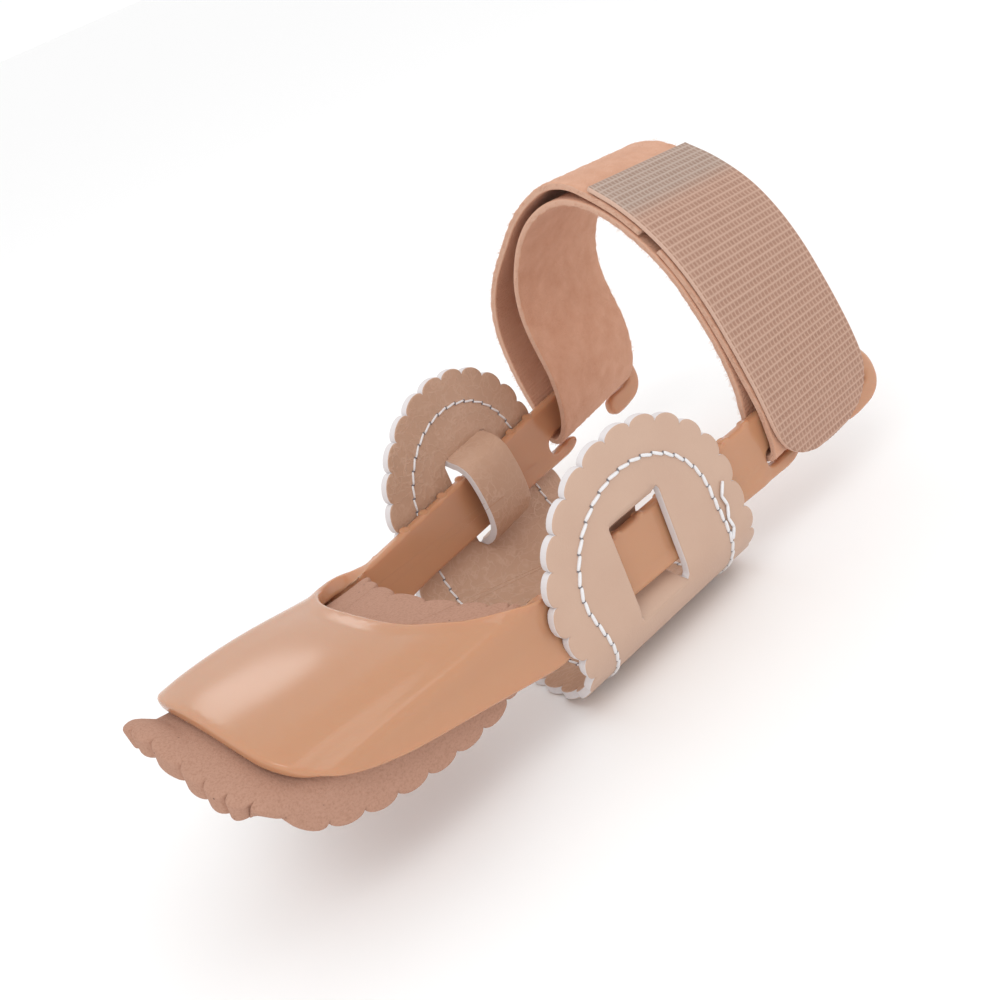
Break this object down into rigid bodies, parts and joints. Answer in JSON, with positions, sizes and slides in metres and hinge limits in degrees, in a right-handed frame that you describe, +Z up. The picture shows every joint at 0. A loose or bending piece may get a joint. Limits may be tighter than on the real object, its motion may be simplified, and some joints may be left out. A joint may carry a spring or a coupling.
{
  "type": "bunion corrector",
  "caption": "Bunion corrector: a moulded toe splint with two arms, a foam toe pad, a scalloped leather sling threaded over the arms and a hook and loop foot strap.",
  "frame": {"origin": "middle of the part's box at floor level, under the sling's flat bottom", "axes": "+X from the toes to the heel, +Y to the far arm in the picture, +Z up"},
  "size_m": [0.1506, 0.0712, 0.0766],
  "materials": {
    "peach_plastic": "glossy moulded plastic, slightly translucent",
    "toe_foam": "matte light foam with a soft brushed skin and small pores",
    "beige_leather": "smooth satin leather outside, browner and creased inside, pale cut edge",
    "loop_pile": "matte brushed loop pile",
    "hook_tape": "woven hook tape, satin"
  },
  "bodies": {
    "root": {"splint_frame": "peach_plastic", "toe_pad": "toe_foam", "bunion_sling": "beige_leather", "foot_strap": "loop_pile", "hook_tab": "hook_tape"}
  },
  "joints": []
}
